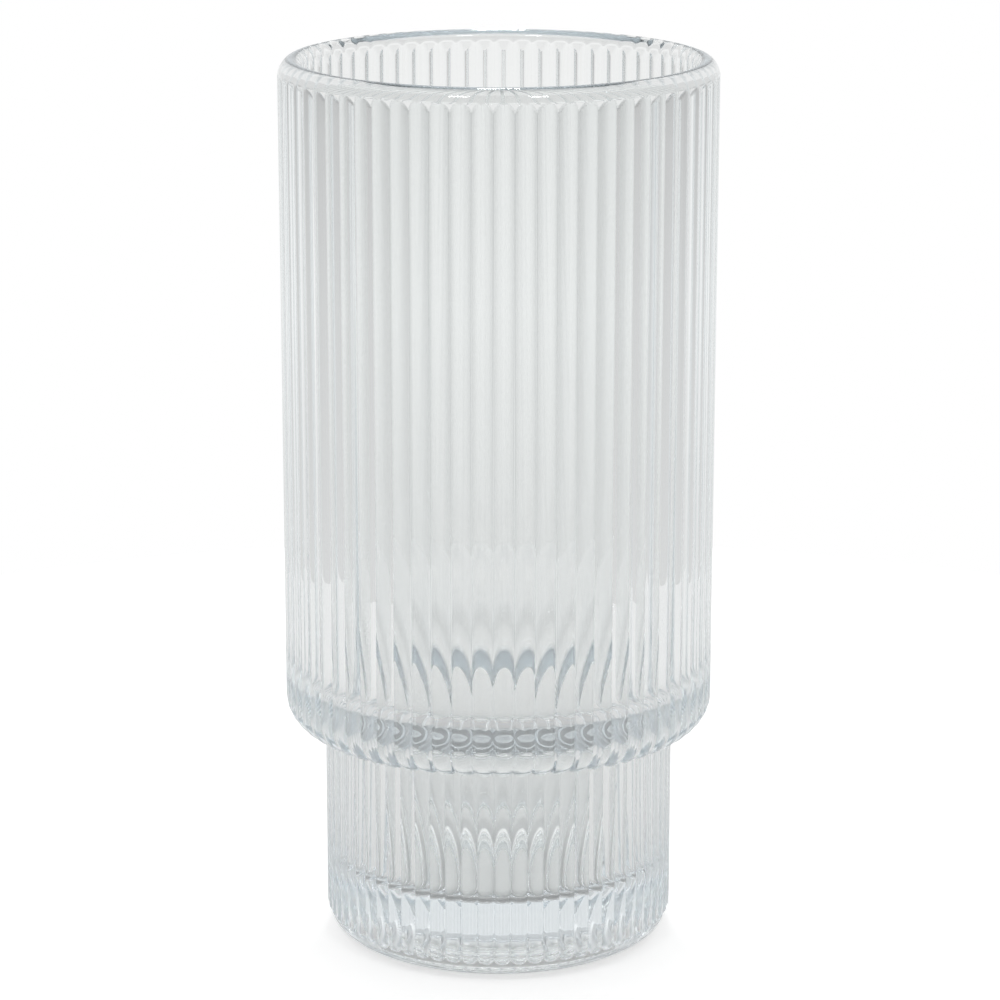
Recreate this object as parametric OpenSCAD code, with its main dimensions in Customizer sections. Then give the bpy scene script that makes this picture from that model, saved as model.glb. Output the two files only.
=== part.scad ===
// Ribbed stacking tumbler of clear pressed glass.
// The real glass is one pressed piece. Its regions are modelled as separate closed
// solids that meet face to face on level planes: lip, bowl wall, shoulder, foot wall, base.
// The origin is on the surface it stands on, at the middle, with +Z up.

/* [Overall] */
// Height from the standing surface to the top of the lip
glass_h = 155.6; // [135:0.1:180]
// Outside diameter of the bowl, over the crests of the ribs
bowl_d = 74.8; // [70:0.1:84]
// How far the foot is set in from the bowl, measured on the radius
shoulder_step = 6.85; // [6:0.05:8]
// Height of the underside of the shoulder where it meets the foot
foot_h = 38.4; // [34:0.1:44]

/* [Ribs] */
// Number of ribs around the glass, the same on bowl, shoulder and foot
rib_n = 66; // [60:1:70]
// Turn of the ribs about the axis, in degrees
rib_start = 4.06; // [0:0.01:5.4]
// Radius of the rounded face of a rib on the bowl
bowl_rib_r = 2.15; // [2.1:0.05:4]
// Radius of the rounded face of a rib on the foot
foot_rib_r = 1.8; // [1.75:0.05:3.2]
// How far the tops of the ribs lie below the top of the lip
rib_top_drop = 2.4; // [2:0.1:3.2]
// Height of the arched end at the top of each rib
rib_arch_h = 1.5; // [1:0.1:2]
// How far the valleys between the ribs are filled where the smooth skin takes over
valley_fill = 0.05; // [0.02:0.01:0.1]

/* [Lip] */
// How far the smooth lip stands proud of the rib crests
lip_bead = 0.1; // [0.05:0.05:0.4]
// Thickness of the glass at the lip
lip_wall = 4.2; // [3.2:0.1:4.4]
// Width of the outer rounding of the lip, from its widest circle in to its crest
lip_out_w = 2.5; // [1.8:0.1:2.8]
// Height of the outer rounding of the lip
lip_out_h = 3.8; // [3.5:0.1:5]
// Height of the inner rounding of the lip
lip_in_h = 2.2; // [1.5:0.1:4.2]
// Depth of the lip region below the top of the glass
lip_region_h = 5; // [4.6:0.1:6]

/* [Walls and inside] */
// Thickness of the bowl wall at its foot, measured from the rib crests
bowl_wall = 4.2; // [3.5:0.1:5]
// Thickness of the foot wall at its top, measured from the rib crests
foot_wall_top = 4.3; // [3.5:0.1:5.5]
// Thickness of the foot wall at its bottom, measured from the rib crests
foot_wall_bottom = 4.8; // [4:0.1:6]
// How far above the underside of the shoulder the inside of the bowl starts to curve in
ledge_rise = 12.6; // [9:0.1:16]
// How far above the underside of the shoulder the inside of the foot starts
throat_rise = 1.8; // [1:0.1:5]
// Height of the inside floor
floor_h = 13; // [10:0.5:18]
// Radius of the fillet between the inside wall and the floor
floor_fillet = 3.5; // [2:0.1:5]

/* [Shoulder] */
// Radius of the outer corner of the shoulder
corner_r = 5; // [4.5:0.1:6]
// Rise of the underside of the shoulder, in degrees
underside_rise = 8; // [5:0.5:14]
// How far the shoulder region reaches above the inner ledge
region_above = 1.5; // [1:0.1:4]
// How far the shoulder region reaches below the underside
region_below = 1; // [0.8:0.1:2]

/* [Base] */
// Outside diameter of the ring that the glass stands on
rest_d = 45.4; // [40:0.1:48]
// Width of the ring that the glass stands on
rest_w = 3; // [2:0.1:4]
// Height of the smooth rounded heel, below the ends of the ribs
heel_h = 3.4; // [2.6:0.1:4.2]
// Height at which the straight part of a rib ends, above its rounded lower end
rib_end_h = 5; // [4.6:0.1:6.5]
// Height of the hollow under the base
hollow_h = 4.6; // [3:0.1:5.5]
// Width of the rounding between the standing ring and the flat top of the hollow
hollow_edge_w = 4.5; // [3:0.1:7]
// How far the base region reaches above the floor fillet
base_above = 1; // [0.5:0.1:3]

/* [Hidden] */
$fn = 128;
glass_colour = [0.86, 0.9, 0.91, 0.45];
lip_colour = [0.9, 0.93, 0.94, 0.45];
shoulder_colour = [0.78, 0.83, 0.86, 0.45];
base_colour = [0.8, 0.86, 0.89, 0.45];
// Steps that the round parts of the outlines are drawn with
arc_steps = 12;
corner_steps = 6;
step_steps = 6;
// Points along one rib of the shoulder, from a valley to the next
rib_points = 4;
// Overrun of every cut
cut = 1;

bowl_r = bowl_d / 2;
foot_r = bowl_r - shoulder_step;
lip_r = bowl_r + lip_bead;
mouth_r = lip_r - lip_wall;
lip_crest_r = lip_r - lip_out_w;
lip_out_z = glass_h - lip_out_h;
lip_in_z = glass_h - lip_in_h;
lip_z = glass_h - lip_region_h;
rib_top_z = glass_h - rib_top_drop;
ledge_h = foot_h + ledge_rise;
throat_h = foot_h + throat_rise;
bowl_in_r = bowl_r - bowl_wall;
shoulder_z = foot_h - region_below;
bowl_z = ledge_h + region_above;
throat_r = foot_r - foot_wall_top;
floor_wall_r = foot_r - foot_wall_bottom;
base_z = floor_h + floor_fillet + base_above;
rest_r = rest_d / 2;
rib_turn = 360 / rib_n;

// Radius of the ribbed skin at an angle a from the crest of a rib
function ribbed_r(crest_r, rib_r, a) =
  (crest_r - rib_r) * cos(a) + sqrt(pow(rib_r, 2) - pow((crest_r - rib_r) * sin(a), 2));
// Radius of the ribbed skin in the valley between two ribs
function valley_r(crest_r, rib_r) = ribbed_r(crest_r, rib_r, rib_turn / 2);
// Radius of the outer rounding of the lip at a height z
function lip_skin_r(z) =
  lip_crest_r + lip_out_w * sqrt(1 - pow((z - lip_out_z) / lip_out_h, 2));
// Radius of the inside of the bowl at a height z
function bowl_inside_r(z) =
  bowl_in_r + (mouth_r - bowl_in_r) * (z - ledge_h) / (lip_in_z - ledge_h);
// Radius of the inside of the foot at a height z
function foot_inside_r(z) =
  floor_wall_r + (throat_r - floor_wall_r) * (z - floor_h) / (throat_h - floor_h);
// Points of a quarter of an ellipse around centre c, from angle a0 to a1
function quarter(c, w, h, a0, a1, n) =
  [for (i = [0 : n]) let (a = a0 + (a1 - a0) * i / n) c + [w * cos(a), h * sin(a)]];

// Outline of the ribbed skin, drawn flat
module ribbed_outline(crest_r, rib_r) {
  circle(r = crest_r - rib_r);
  for (i = [0 : rib_n - 1])
    rotate(i * rib_turn + rib_start)
      translate([crest_r - rib_r, 0])
        circle(r = rib_r);
}

// Upright prism with the ribbed outline, from height z0 to z1
module ribbed_prism(crest_r, rib_r, z0, z1) {
  translate([0, 0, z0])
    linear_extrude(z1 - z0)
      ribbed_outline(crest_r, rib_r);
}

// Solid of revolution from an outline of [radius, height] points
module turned(points) {
  rotate_extrude()
    polygon(points);
}

// Smooth fire-polished lip, with the arched tops of the ribs just below it
module lip() {
  fill_r = valley_r(bowl_r, bowl_rib_r) - valley_fill;
  lip_arc = asin((rib_top_z - lip_out_z) / lip_out_h);
  color(lip_colour)
    difference() {
      union() {
        turned(concat(
          [[0, lip_z], [fill_r, lip_z], [fill_r, rib_top_z - rib_arch_h]],
          quarter([lip_crest_r, lip_out_z], lip_out_w, lip_out_h, lip_arc, 90, arc_steps),
          [[0, glass_h]]
        ));
        ribbed_prism(bowl_r, bowl_rib_r, lip_z, rib_top_z);
      }
      turned(concat(
        [[0, lip_z - cut], [bowl_inside_r(lip_z - cut), lip_z - cut]],
        quarter([lip_crest_r, lip_in_z], lip_crest_r - mouth_r, lip_in_h, 180, 90, arc_steps),
        [[lip_crest_r, glass_h + cut], [0, glass_h + cut]]
      ));
    }
}

// Ribbed wall of the bowl, a straight ribbed skin around a slightly tapered inside
module bowl_wall() {
  color(glass_colour)
    difference() {
      ribbed_prism(bowl_r, bowl_rib_r, bowl_z, lip_z);
      translate([0, 0, bowl_z - cut])
        cylinder(
          r1 = bowl_inside_r(bowl_z - cut),
          r2 = bowl_inside_r(lip_z + cut),
          h = lip_z - bowl_z + 2 * cut
        );
    }
}

// Rounded shoulder that steps in from the bowl to the foot, ribbed down to the foot
module shoulder() {
  arc_end = underside_rise - 90;
  corner_c = bowl_r - corner_r;
  corner_in = corner_c + corner_r * cos(arc_end);
  corner_z = foot_h + (corner_in - foot_r) * tan(underside_rise) - corner_r * sin(arc_end);
  // Rows of the ribbed skin: crest radius, height, and the two parts of the outward direction
  skin = concat(
    [[bowl_r, bowl_z, 1, 0]],
    [for (i = [0 : corner_steps])
      let (a = arc_end * i / corner_steps)
        [corner_c + corner_r * cos(a), corner_z + corner_r * sin(a), cos(a), sin(a)]]
  );
  inside = concat(
    [[foot_inside_r(shoulder_z), shoulder_z]],
    [for (i = [0 : step_steps])
      let (t = i / step_steps)
        [throat_r + (bowl_in_r - throat_r) * (1 - cos(180 * t)) / 2,
         throat_h + (ledge_h - throat_h) * t]],
    [[bowl_inside_r(bowl_z), bowl_z]]
  );
  columns = rib_n * rib_points;
  function turn(j) = 360 * j / columns + rib_start;
  function from_valley(j) = abs((j % rib_points) / rib_points - 1 / 2) * rib_turn;
  function dip(j) = bowl_r - ribbed_r(bowl_r, bowl_rib_r, rib_turn / 2 - from_valley(j));
  function foot_skin_r(j) = ribbed_r(foot_r, foot_rib_r, rib_turn / 2 - from_valley(j));
  function ring(r, z, j) = [r * cos(turn(j)), r * sin(turn(j)), z];
  function skin_point(s, j) =
    let (d = dip(j) * s[0] / bowl_r) ring(s[0] - s[2] * d, s[1] - s[3] * d, j);
  function meet_z(j) =
    foot_h + (dip(j) * foot_r / bowl_r) / cos(underside_rise)
      - (foot_r - foot_skin_r(j)) * tan(underside_rise);
  rows = concat(
    [for (s = skin) [for (j = [0 : columns - 1]) skin_point(s, j)]],
    [[for (j = [0 : columns - 1]) ring(foot_skin_r(j), meet_z(j), j)]],
    [[for (j = [0 : columns - 1]) ring(foot_skin_r(j), shoulder_z, j)]],
    [for (p = inside) [for (j = [0 : columns - 1]) ring(p[0], p[1], j)]]
  );
  n = len(rows);
  faces = [
    for (i = [0 : n - 1], j = [0 : columns - 1])
      let (
        a = i * columns + j,
        b = i * columns + (j + 1) % columns,
        c = ((i + 1) % n) * columns + (j + 1) % columns,
        d = ((i + 1) % n) * columns + j
      )
      each [[a, b, c], [a, c, d]]
  ];
  color(shoulder_colour)
    polyhedron(points = [for (row = rows) each row], faces = faces);
}

// Ribbed wall of the foot
module foot_wall() {
  color(glass_colour)
    difference() {
      ribbed_prism(foot_r, foot_rib_r, base_z, shoulder_z);
      translate([0, 0, base_z - cut])
        cylinder(
          r1 = foot_inside_r(base_z - cut),
          r2 = foot_inside_r(shoulder_z + cut),
          h = shoulder_z - base_z + 2 * cut
        );
    }
}

// Rounded lower ends of the ribs
module rib_ends() {
  for (i = [0 : rib_n - 1])
    rotate(i * rib_turn + rib_start)
      translate([foot_r - foot_rib_r, 0, rib_end_h])
        sphere(r = foot_rib_r);
}

// Thick base: smooth heel under the rounded rib ends, standing ring around a hollow
module base() {
  fillet_r = foot_inside_r(floor_h + floor_fillet);
  hollow_r = rest_r - rest_w;
  heel_r = valley_r(foot_r, foot_rib_r);
  color(base_colour)
    difference() {
      union() {
        turned(concat(
          [[0, 0]],
          quarter([rest_r, heel_h], heel_r - rest_r, heel_h, -90, 0, arc_steps),
          [[heel_r, rib_end_h], [0, rib_end_h]]
        ));
        ribbed_prism(foot_r, foot_rib_r, rib_end_h, base_z);
        rib_ends();
      }
      turned(concat(
        [[0, floor_h]],
        quarter([fillet_r - floor_fillet, floor_h + floor_fillet], floor_fillet, floor_fillet,
                -90, 0, arc_steps),
        [[foot_inside_r(base_z + cut), base_z + cut], [0, base_z + cut]]
      ));
      turned(concat(
        [[0, -cut], [hollow_r, -cut]],
        quarter([hollow_r - hollow_edge_w, 0], hollow_edge_w, hollow_h, 0, 90, arc_steps),
        [[0, hollow_h]]
      ));
    }
}

lip();
bowl_wall();
shoulder();
foot_wall();
base();
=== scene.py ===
# Clear pressed-glass tumbler: ribbed bowl, rounded shoulder and ribbed foot in one closed skin
import math
import bpy
import numpy as np
from mathutils import Matrix, Vector


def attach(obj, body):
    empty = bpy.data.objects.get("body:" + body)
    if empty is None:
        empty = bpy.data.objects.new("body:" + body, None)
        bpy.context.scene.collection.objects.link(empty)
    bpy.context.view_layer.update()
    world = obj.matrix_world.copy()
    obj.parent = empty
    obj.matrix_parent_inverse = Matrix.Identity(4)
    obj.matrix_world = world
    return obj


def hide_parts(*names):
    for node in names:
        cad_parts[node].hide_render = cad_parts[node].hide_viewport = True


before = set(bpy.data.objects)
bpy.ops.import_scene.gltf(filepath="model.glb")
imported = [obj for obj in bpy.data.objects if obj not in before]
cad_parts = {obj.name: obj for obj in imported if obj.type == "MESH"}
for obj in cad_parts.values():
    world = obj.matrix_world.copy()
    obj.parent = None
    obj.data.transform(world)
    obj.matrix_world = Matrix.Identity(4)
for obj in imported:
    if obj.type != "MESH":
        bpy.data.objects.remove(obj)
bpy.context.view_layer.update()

scene = bpy.context.scene

# Lengths in millimetres, the same as in part.scad, and angles in degrees
glass = {
    "height": 155.6,
    "bowlRadius": 37.4,        # over the crests of the ribs
    "footRadius": 30.55,
    "ribs": 66,
    "ribStart": 1.33,          # turn of a crest from the front
    "bowlRib": 2.15,           # radius of the rounded face of a rib
    "footRib": 1.8,
    "ribTopDrop": 2.4,         # crests end this far below the lip
    "ribArch": 1.5,            # height of the arched end of a rib
    "lipRadius": 37.5,
    "lipWall": 4.2,
    "lipOutWidth": 2.5,
    "lipOutHeight": 3.8,
    "lipInHeight": 2.2,
    "bowlWall": 4.2,
    "ledge": 51.0,             # the inside starts to curve in
    "throat": 40.2,            # the inside of the foot starts
    "footWallTop": 4.3,
    "footWallBottom": 4.8,
    "floor": 13.0,
    "fillet": 3.5,
    "corner": 5.0,
    "underside": 38.4,         # where the shoulder meets the foot
    "undersideRise": 8.0,
    "ribEnd": 5.0,             # centre of the round lower end of a rib
    "heel": 3.4,
    "restRadius": 22.7,
    "restWidth": 3.0,
    "hollow": 4.6,
    "hollowEdge": 4.5,         # width of the rounding around its flat top
    "soften": 0.06,            # how softly ribs run into the smooth skin
    "columns": 12,             # columns of points on one rib
    # rows of points on each rounding
    "rows": {"lip": 13, "arch": 13, "corner": 13, "ribEnd": 10, "heel": 8, "hollow": 12,
             "fillet": 8, "ledge": 16, "lipInside": 12},
}


# Depth of the ribbed skin under its crests, at an angle a from a crest:
# crest - ((crest - rib) cos a + sqrt(rib^2 - ((crest - rib) sin a)^2))
def ribDip(crest, rib, turn):
    middle = crest - rib
    inside = rib ** 2 - (middle * np.sin(turn)) ** 2
    with np.errstate(invalid="ignore"):
        return crest - (middle * np.cos(turn) + np.sqrt(inside))


# The larger of a and b, rounded over the width k where they meet:
# b (1 - h) + a h + k h (1 - h), where h runs from 0 to 1 with (a - b) / k
def softMax(a, b, k):
    h = np.clip(0.5 + 0.5 * (a - b) / k, 0, 1)
    return b * (1 - h) + a * h + k * h * (1 - h)


# Points centre + (width cos t, height sin t), for t in degrees from start to end
def ellipseRows(centreR, centreZ, width, height, start, end, count):
    t = np.radians(np.linspace(start, end, count))
    return centreR + width * np.cos(t), centreZ + height * np.sin(t)


# Rows of the skin, from the crest of the lip down the outside, under the base, then from the
# floor up the inside. Each row is a radius and a height for every column around the glass.
def glassRows(g):
    perRib, rows = g["columns"], g["rows"]
    ribTurn = 2 * math.pi / g["ribs"]
    valleyBowl = g["bowlRadius"] - ribDip(g["bowlRadius"], g["bowlRib"], ribTurn / 2)
    halfFace = math.asin(valleyBowl * math.sin(ribTurn / 2) / g["bowlRib"])
    # columns lie at equal steps around the face of a rib, from one valley to the next
    step = np.arange(perRib) / perRib * 2 - 1
    share = np.sin(halfFace * step) / math.sin(halfFace) / 2
    turn = np.tile(share * ribTurn, g["ribs"])
    azimuth = (np.repeat(np.arange(g["ribs"]), perRib) * ribTurn + turn
               + math.radians(g["ribStart"] - 90))
    ones = np.ones_like(turn)
    dipBowl = ribDip(g["bowlRadius"], g["bowlRib"], turn)
    dipFoot = ribDip(g["footRadius"], g["footRib"], turn)
    radii, heights = [], []

    def add(r, z):
        radii.append(np.atleast_2d(np.asarray(r)[..., None] * ones if np.ndim(r) < 2 else r))
        heights.append(np.atleast_2d(np.asarray(z)[..., None] * ones if np.ndim(z) < 2 else z))

    # outside of the lip, an ellipse from its crest down to the tops of the ribs
    crest = g["lipRadius"] - g["lipOutWidth"]
    lipZ = g["height"] - g["lipOutHeight"]
    ribTop = g["height"] - g["ribTopDrop"]
    lipEnd = math.degrees(math.asin((ribTop - lipZ) / g["lipOutHeight"]))
    add(*ellipseRows(crest, lipZ, g["lipOutWidth"], g["lipOutHeight"], 90, lipEnd, rows["lip"]))

    # arched tops of the ribs: the larger of the ribbed skin and one that closes from lip to valley,
    # in rows that start just under the smooth lip and end just past the arches
    drop = np.linspace(0.06, 1.12, rows["arch"])
    z = ribTop - drop * g["ribArch"]
    lipAtTop = crest + g["lipOutWidth"] * math.sin(math.radians(90 - lipEnd))
    closing = lipAtTop + (g["bowlRadius"] - dipBowl.max() - lipAtTop) * drop
    height = np.clip((z - lipZ) / g["lipOutHeight"], 0, 1)
    lipSkin = crest + g["lipOutWidth"] * np.sqrt(1 - height ** 2)
    ribbed = np.minimum(g["bowlRadius"] - dipBowl[None], lipSkin[:, None])
    add(softMax(closing[:, None] * ones, ribbed, g["soften"]), z)
    archRow = len(np.vstack(radii)) - 3   # the valleys are sharp from here on

    # straight ribbed bowl
    ribbedBowl = (g["bowlRadius"] - dipBowl)[None]
    for z in (ribTop - 4, 100, g["ledge"]):
        add(ribbedBowl, z * ones[None])

    # corner of the shoulder: a round corner with the ribs pressed in along its outward direction
    slope = math.radians(g["undersideRise"])
    cornerEnd = slope - math.pi / 2
    cornerR = g["bowlRadius"] - g["corner"]
    cornerInR = cornerR + g["corner"] * math.cos(cornerEnd)
    cornerZ = (g["underside"] + (cornerInR - g["footRadius"]) * math.tan(slope)
               - g["corner"] * math.sin(cornerEnd))
    t = np.linspace(0, cornerEnd, rows["corner"])[:, None]
    skinR = cornerR + g["corner"] * np.cos(t)
    skinZ = cornerZ + g["corner"] * np.sin(t)
    dip = dipBowl * skinR / g["bowlRadius"]
    add(skinR - np.cos(t) * dip, skinZ - np.sin(t) * dip)

    # underside, in to the ribbed foot, with a row close below that keeps the corner crisp
    ribbedFoot = g["footRadius"] - dipFoot
    meetZ = (g["underside"] + dipBowl * g["footRadius"] / g["bowlRadius"] / math.cos(slope)
             - dipFoot * math.tan(slope))
    edgeR, edgeZ = radii[-1][-1], heights[-1][-1]
    for part in (0.5, 0.9):
        add((edgeR + (ribbedFoot - edgeR) * part)[None], (edgeZ + (meetZ - edgeZ) * part)[None])
    add(ribbedFoot[None], meetZ[None])
    add(ribbedFoot[None], (meetZ - 0.3)[None])
    for z in (36, g["ribEnd"]):
        add(ribbedFoot[None], z * ones[None])

    # round lower ends of the ribs: each shrinks as a ball does, until the smooth heel takes over
    valleyFoot = g["footRadius"] - dipFoot.max()
    heelW = valleyFoot - g["restRadius"]
    fall = np.sin(np.linspace(0, math.pi / 2, rows["ribEnd"] + 2)[1:-1]) * g["footRib"]
    ballR = np.sqrt(g["footRib"] ** 2 - fall ** 2)
    z = g["ribEnd"] - fall
    middle = g["footRadius"] - g["footRib"]
    heelSkin = np.sqrt(np.clip(1 - (1 - z / g["heel"]) ** 2, 0, 1))
    smooth = np.where(z > g["heel"], valleyFoot, g["restRadius"] + heelW * heelSkin)
    inside = ballR[:, None] ** 2 - (middle * np.sin(turn)) ** 2
    rib = np.where(inside > 0, middle * np.cos(turn) + np.sqrt(np.maximum(inside, 0)), 0)
    add(softMax(smooth[:, None] * ones, rib, g["soften"] * 2), z)
    heelStart = math.degrees(math.asin(1 - z[-1] / g["heel"]))
    ribEndRow = len(np.vstack(radii)) - 4   # the valleys are sharp down to here

    # smooth heel, standing ring with a small chamfer inside, and hollow
    add(*ellipseRows(g["restRadius"], g["heel"], heelW, -g["heel"], heelStart + 8, 90,
                     rows["heel"]))
    hollowR = g["restRadius"] - g["restWidth"]
    add(hollowR + 0.5, 0)
    add(hollowR + 0.15, 0.05)
    edge, top = g["hollowEdge"], g["hollow"]
    add(*ellipseRows(hollowR - edge, 0, edge, top, 4, 90, rows["hollow"]))
    for r in (12, 4):
        add(r, top)
    outside = len(np.vstack(radii))

    # inside: floor, fillet and slightly tapered foot
    floorR = g["footRadius"] - g["footWallBottom"]
    throatR = g["footRadius"] - g["footWallTop"]

    def footInside(z):
        return floorR + (throatR - floorR) * (z - g["floor"]) / (g["throat"] - g["floor"])

    filletR = footInside(g["floor"] + g["fillet"]) - g["fillet"]
    for r in (4, 12, filletR - 1):
        add(r, g["floor"])
    add(*ellipseRows(filletR, g["floor"] + g["fillet"], g["fillet"], g["fillet"], -90, 0,
                     rows["fillet"]))
    add(footInside(28), 28)

    # ledge: radius runs from foot to bowl with (1 - cos) / 2
    bowlR = g["bowlRadius"] - g["bowlWall"]
    t = np.linspace(0, 1, rows["ledge"])
    add(throatR + (bowlR - throatR) * (1 - np.cos(math.pi * t)) / 2,
        g["throat"] + (g["ledge"] - g["throat"]) * t)

    # inside of the bowl, and up over the inner side of the lip
    mouthR = g["lipRadius"] - g["lipWall"]
    lipInZ = g["height"] - g["lipInHeight"]
    for z in (56, 100, lipInZ - 1.5):
        add(bowlR + (mouthR - bowlR) * (z - g["ledge"]) / (lipInZ - g["ledge"]), z)
    add(*ellipseRows(crest, lipInZ, crest - mouthR, g["lipInHeight"], 180, 94,
                     rows["lipInside"]))
    return azimuth, np.vstack(radii), np.vstack(heights), outside, archRow, ribEndRow


# Closed skin with the points (r cos a, r sin a, z), in metres, on a grid of rows by columns. The
# last row joins the first, and a pole closes the hollow and another the floor.
def makeGlass(g, name):
    azimuth, r, z, outside, archRow, ribEndRow = glassRows(g)
    rows, columns = r.shape
    points = np.stack([r * np.cos(azimuth), r * np.sin(azimuth), z], -1).reshape(-1, 3)
    poles = [[0, 0, g["hollow"]], [0, 0, g["floor"]]]
    points = np.concatenate([points, poles]) / 1000
    hollowPole, floorPole = rows * columns, rows * columns + 1
    i = np.arange(rows)
    i = i[i != outside - 1]
    here = np.arange(columns)
    following = (here + 1) % columns
    a, b = i[:, None] * columns, ((i + 1) % rows)[:, None] * columns
    quads = np.stack([a + here, b + here, b + following, a + following], -1).reshape(-1, 4)
    rim = (outside - 1) * columns
    under = np.stack([rim + here, np.full(columns, hollowPole), rim + following], -1)
    rim = outside * columns
    floor = np.stack([rim + following, np.full(columns, floorPole), rim + here], -1)
    mesh = bpy.data.meshes.new(name)
    mesh.from_pydata(points, [], quads.tolist() + under.tolist() + floor.tolist())
    mesh.validate()
    mesh.polygons.foreach_set("use_smooth", np.ones(len(mesh.polygons), bool))
    # crease along the valleys between the ribs
    ends = np.zeros(len(mesh.edges) * 2, np.int32)
    mesh.edges.foreach_get("vertices", ends)
    ends = ends.reshape(-1, 2)
    row, column = ends // columns, ends % columns
    crease = ((column[:, 0] == column[:, 1]) & (column[:, 0] % g["columns"] == 0)
              & (row.min(1) >= archRow) & (row.max(1) <= ribEndRow))
    sharp = mesh.attributes.new("sharp_edge", "BOOLEAN", "EDGE")
    sharp.data.foreach_set("value", crease)
    piece = bpy.data.objects.new(name, mesh)
    scene.collection.objects.link(piece)
    print(name, rows, "rows by", columns, "columns,", 2 * len(quads) + 2 * columns, "triangles")
    return piece


# One output socket. Python arithmetic on it adds Math nodes to its tree.
class Signal:
    def __init__(self, tree, socket):
        self.tree, self.socket = tree, socket

    def combine(self, operation, first, second):
        return node(self.tree, "Math", {"operation": operation}, {0: first, 1: second})

    def __add__(self, other): return self.combine("ADD", self, other)
    def __radd__(self, other): return self.combine("ADD", other, self)
    def __sub__(self, other): return self.combine("SUBTRACT", self, other)
    def __rsub__(self, other): return self.combine("SUBTRACT", other, self)
    def __mul__(self, other): return self.combine("MULTIPLY", self, other)
    def __rmul__(self, other): return self.combine("MULTIPLY", other, self)
    def __truediv__(self, other): return self.combine("DIVIDE", self, other)
    def __pow__(self, other): return self.combine("POWER", self, other)


# Adds one node: settings first, then a value or a link for each input
def node(tree, kind, settings, values, output=0):
    made = tree.nodes.new("ShaderNode" + kind)
    for name, value in settings.items():
        if name == "stops":
            ramp = made.color_ramp.elements
            while len(ramp) < len(value):
                ramp.new(0.5)
            for stop, (position, colour) in zip(ramp, value):
                stop.position, stop.color = position, colour
        else:
            setattr(made, name, value)
    for name, value in values.items():
        if isinstance(value, Signal):
            tree.links.new(value.socket, made.inputs[name])
        else:
            made.inputs[name].default_value = value
    return Signal(tree, made.outputs[output])


glassFinish = {
    "ior": 1.51,
    "tint": (0.933, 0.942, 0.937, 1),
    "absorb": (0.868, 0.94, 0.988, 1), # faint blue-grey where the glass is thick
    "absorbDensity": 9.5,              # per metre
    "waveScale": 70.0,                 # slow waves left by the mould, per metre
    "waveDetail": 2.0,
    "waveHeight": 0.000015,            # metres
    "rippleScale": 420.0,              # fine fire-polish ripple
    "rippleDetail": 1.0,
    "rippleHeight": 0.000001,
    "hazeScale": 28.0,                 # patches where the surface was handled
    "hazeDetail": 5.0,
    "hazeEdge": (0.45, 0.7),           # noise at which they start, and are full
    "haze": 0.012,                     # their roughness
}


# Clear glass: one tint at each wall, absorption inside, and a bump of
# wave * its height + ripple * its height
def glassMaterial(f, name):
    material = bpy.data.materials.new(name)
    material.use_nodes = True
    tree = material.node_tree
    shader = tree.nodes["Principled BSDF"]
    where = node(tree, "TexCoord", {}, {}, "Object")
    waves, ripple, handled = (
        node(tree, "TexNoise", {}, {"Vector": where, "Scale": f[kind + "Scale"],
                                    "Detail": f[kind + "Detail"]})
        for kind in ("wave", "ripple", "haze"))
    height = waves * f["waveHeight"] + ripple * f["rippleHeight"]
    bump = node(tree, "Bump", {}, {"Height": height, "Strength": 1.0, "Distance": 1.0})
    start, full = f["hazeEdge"]
    rough = node(tree, "MapRange", {}, {"Value": handled, "From Min": start, "From Max": full,
                                        "To Min": 0.0, "To Max": f["haze"]})
    tree.links.new(bump.socket, shader.inputs["Normal"])
    tree.links.new(rough.socket, shader.inputs["Roughness"])
    shader.inputs["Base Color"].default_value = f["tint"]
    shader.inputs["IOR"].default_value = f["ior"]
    shader.inputs["Transmission Weight"].default_value = 1.0
    volume = tree.nodes.new("ShaderNodeVolumeAbsorption")
    volume.inputs["Color"].default_value = f["absorb"]
    volume.inputs["Density"].default_value = f["absorbDensity"]
    tree.links.new(volume.outputs["Volume"], tree.nodes["Material Output"].inputs["Volume"])
    return material


tumbler = makeGlass(glass, "tumbler")
tumbler.data.materials.append(glassMaterial(glassFinish, "clearGlass"))
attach(tumbler, "root")
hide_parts("lip", "bowl_wall", "shoulder", "foot_wall", "base")
print("glass made")

floorLook = {
    "radius": 0.25,
    "points": 96,          # around its edge
    "colour": (0.82, 0.82, 0.82, 1),
    "roughness": 0.8,
    "lift": 0.5,           # brings the open floor up to white, and leaves the shadow
    "glassLift": 0.085,    # the same, as the glass shows it
    "far": 0.11,           # painted light: the floor glows more away from the glass, as the glass shows it
    "farCentre": (0, -0.02),
    "farReach": (0.03, 0.2),
    "pool": 0.36,          # painted pool of light on the floor under the base, where the glass gathers light
    "poolCentre": (0, 0.008),
    "poolReach": (0.006, 0.036),
}


# Share from 0 to 1 that says whether a ray comes from the camera, or has met only metal or glass
def seenRays(tree, kinds):
    path = tree.nodes.new("ShaderNodeLightPath")
    total = Signal(tree, path.outputs[kinds[0]])
    for kind in kinds[1:]:
        total = total + Signal(tree, path.outputs[kind])
    return node(tree, "Clamp", {}, {"Value": total})


# Value that runs smoothly from one to another with the distance from a centre on the floor
def patch(tree, centre, reach, inside, outside):
    where = node(tree, "TexCoord", {}, {}, "Object")
    away = node(tree, "VectorMath", {"operation": "DISTANCE"}, {0: where, 1: (*centre, 0)}, "Value")
    return node(tree, "MapRange", {"interpolation_type": "SMOOTHSTEP"},
                {"Value": away, "From Min": reach[0], "From Max": reach[1],
                 "To Min": inside, "To Max": outside})


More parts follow.
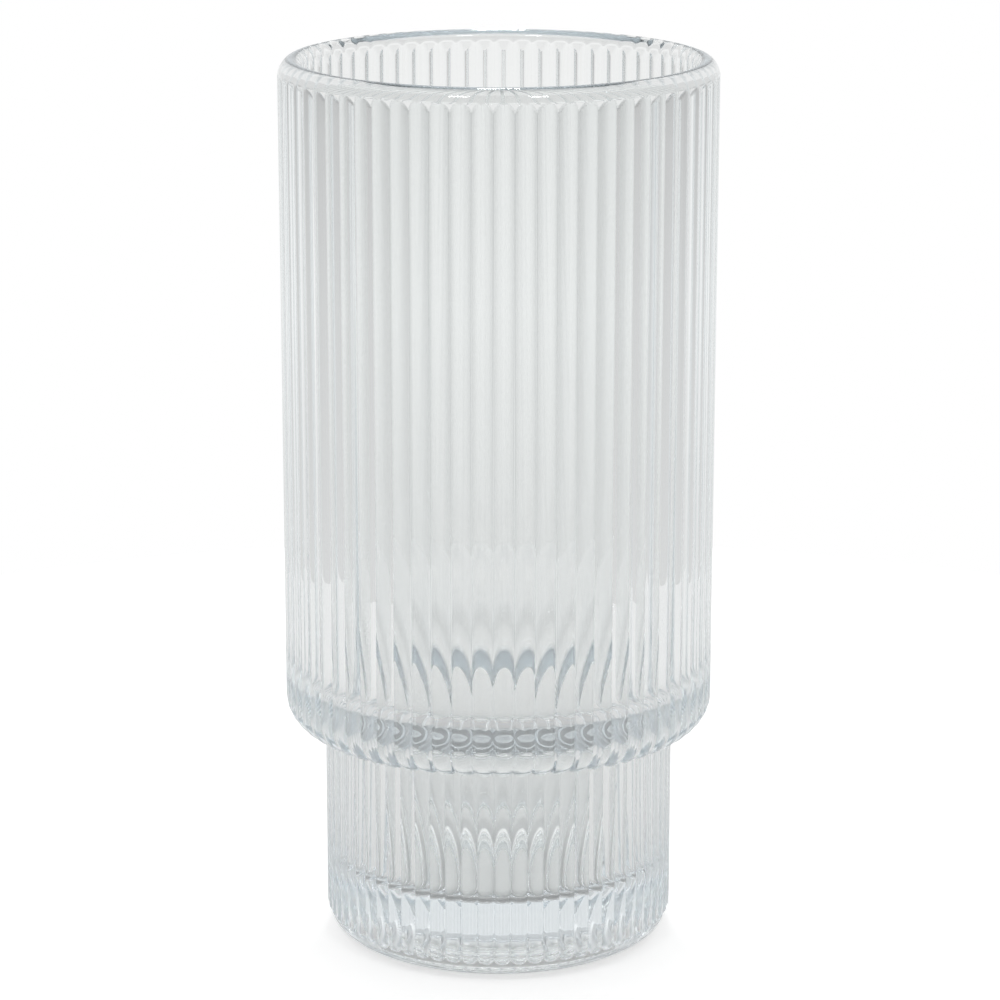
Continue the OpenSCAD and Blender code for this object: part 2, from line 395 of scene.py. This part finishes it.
# Round pale floor: a ring of points (r cos t, r sin t) around the origin
def makeFloor(f):
    turn = np.linspace(0, 2 * math.pi, f["points"], endpoint=False)
    points = np.stack([np.cos(turn), np.sin(turn), turn * 0], -1) * f["radius"]
    mesh = bpy.data.meshes.new("floor")
    mesh.from_pydata(points, [], [list(range(len(turn)))])
    floor = bpy.data.objects.new("floor", mesh)
    scene.collection.objects.link(floor)
    material = bpy.data.materials.new("paleFloor")
    material.use_nodes = True
    tree = material.node_tree
    shader = tree.nodes["Principled BSDF"]
    shader.inputs["Base Color"].default_value = f["colour"]
    shader.inputs["Roughness"].default_value = f["roughness"]
    shader.inputs["Specular IOR Level"].default_value = 0.0
    straight = seenRays(tree, ["Is Camera Ray"])
    through = seenRays(tree, ["Is Glossy Ray", "Is Transmission Ray"])
    # painted light: a glowing pool on the floor under the base, shown only to glass rays
    pool = patch(tree, f["poolCentre"], f["poolReach"], f["pool"], 0)
    # painted light: the floor glows brighter away from the glass, shown only to glass rays
    far = patch(tree, f["farCentre"], f["farReach"], 0, f["far"])
    level = straight * f["lift"] + through * (f["glassLift"] + pool + far)
    lift = node(tree, "CombineColor", {}, {i: level for i in range(3)})
    tree.links.new(lift.socket, shader.inputs["Emission Color"])
    shader.inputs["Emission Strength"].default_value = 1.0
    mesh.materials.append(material)
    return floor


makeFloor(floorLook)

studio = {
    # grey of the studio from straight down (0) over the horizon (0.5) to straight up (1): behind
    # the glass, in front of it, and at its sides, where the table ends
    "behind": [(0, 0.75), (0.35, 0.8), (0.395, 1.0), (0.44, 0.93), (0.5, 0.87), (0.73, 0.9),
               (0.76, 1.25), (0.83, 1.25), (0.87, 0.45), (0.92, 0.45), (0.96, 0.65)],
    "before": [(0, 0.75), (0.35, 0.85), (0.395, 0.92), (0.44, 0.9), (0.5, 0.8), (0.73, 0.72),
               (0.76, 0.6), (0.83, 0.6), (0.87, 0.45), (0.92, 0.45), (0.96, 0.65)],
    "aside": [(0, 0.7), (0.35, 0.74), (0.395, 0.68), (0.42, 0.6), (0.426, 0.52), (0.431, 0.43),
              (0.49, 0.43), (0.52, 0.8), (0.73, 0.82), (0.76, 0.62), (0.83, 0.62), (0.87, 0.45),
              (0.92, 0.45), (0.96, 0.65)],
    "behindEdge": (-0.4, 0.4),  # cosine of the turn from +y at which behind starts, and is full
    "turnBack": 13.0,           # the sides lie this many degrees behind +x and -x
    "sideEdge": (0.62, 0.85),   # cosine of the turn from there at which they start, and are full
    "aim": (0, 0, 0.09),        # the soft boxes face this point
    "lamps": [
        # place, size and power of each soft box
        ((-0.41, -0.84, 1.25), 0.2, 1.5),
        ((0.41, -0.84, 1.25), 0.2, 1.5),
        ((0, 0.75, 1.2), 0.12, 2.5),
    ],
}


# Light of the studio by direction (x, y, z), from three levels by height. Those behind and in
# front are shared out by y / sqrt(x^2 + y^2), and then the one aside is laid over them by the
# cosine of the turn from the middle of the nearer side, (|x| cos t + y sin t) / sqrt(x^2 + y^2).
def makeStudio(s):
    world = bpy.data.worlds.new("studio")
    scene.world = world
    world.use_nodes = True
    tree = world.node_tree
    background = tree.nodes["Background"]
    direction = node(tree, "TexCoord", {}, {}, "Generated")
    x, y, z = (node(tree, "SeparateXYZ", {}, {"Vector": direction}, axis) for axis in "XYZ")
    levels = []
    for part in ("behind", "before", "aside"):
        stops = [(position, (grey, grey, grey, 1)) for position, grey in s[part]]
        levels.append(node(tree, "ValToRGB", {"stops": stops}, {"Fac": z * 0.5 + 0.5}))
    t = math.radians(s["turnBack"])
    side = node(tree, "Math", {"operation": "ABSOLUTE"}, {0: x}) * math.cos(t) + y * math.sin(t)
    around = (x * x + y * y + 0.0001) ** 0.5   # never 0, also straight up and down
    behind, aside = (
        node(tree, "MapRange", {"interpolation_type": "SMOOTHSTEP"},
             {"Value": share / around, "From Min": start, "From Max": full})
        for share, (start, full) in ((y, s["behindEdge"]), (side, s["sideEdge"])))
    light = node(tree, "Mix", {"data_type": "RGBA"}, {0: behind, 6: levels[1], 7: levels[0]}, 2)
    light = node(tree, "Mix", {"data_type": "RGBA"}, {0: aside, 6: light, 7: levels[2]}, 2)
    seen = seenRays(tree, ["Is Camera Ray"])
    shown = node(tree, "Mix", {"data_type": "RGBA"}, {0: seen, 6: light, 7: (1, 1, 1, 1)}, 2)
    tree.links.new(shown.socket, background.inputs["Color"])
    background.inputs["Strength"].default_value = 1.0
    for number, (place, size, power) in enumerate(s["lamps"]):
        lamp = bpy.data.lights.new("softBox%d" % number, "AREA")
        lamp.shape = "SQUARE"
        lamp.size, lamp.energy = size, power
        holder = bpy.data.objects.new(lamp.name, lamp)
        turn = (Vector(s["aim"]) - Vector(place)).to_track_quat("-Z", "Y").to_matrix()
        holder.matrix_world = Matrix.Translation(place) @ turn.to_4x4()
        scene.collection.objects.link(holder)


makeStudio(studio)

view = {
    "distance": 0.6,       # from the axis of the glass, level
    "height": 0.2402364,
    "yaw": 0.0004,         # radians
    "pitch": 0.2639,
    "roll": 0.0006,
    "focal": 3565.7362,    # pixels of the picture
    "picture": 1000,
    "sensor": 36,
    "clipStart": 0.01,
}


# Camera that looks along (sin yaw cos pitch, cos yaw cos pitch, -sin pitch)
def makeCamera(v):
    camera = bpy.data.cameras.new("camera")
    camera.sensor_width = v["sensor"]
    camera.lens = v["focal"] * v["sensor"] / v["picture"]
    camera.clip_start = v["clipStart"]
    holder = bpy.data.objects.new("camera", camera)
    scene.collection.objects.link(holder)
    forward = Vector((math.sin(v["yaw"]) * math.cos(v["pitch"]),
                      math.cos(v["yaw"]) * math.cos(v["pitch"]), -math.sin(v["pitch"])))
    right = Vector((math.cos(v["yaw"]), -math.sin(v["yaw"]), 0))
    turn = Matrix((right, right.cross(forward), -forward)).transposed()
    turn = turn @ Matrix.Rotation(v["roll"], 3, "Z")
    holder.matrix_world = Matrix.Translation((0, -v["distance"], v["height"])) @ turn.to_4x4()
    scene.camera = holder


makeCamera(view)
scene.view_settings.view_transform = "Standard"
lightBounces = 24   # light crosses many walls of glass before it leaves the tumbler
for kind in ("max_bounces", "glossy_bounces", "transmission_bounces"):
    setattr(scene.cycles, kind, lightBounces)
print("studio and camera set")
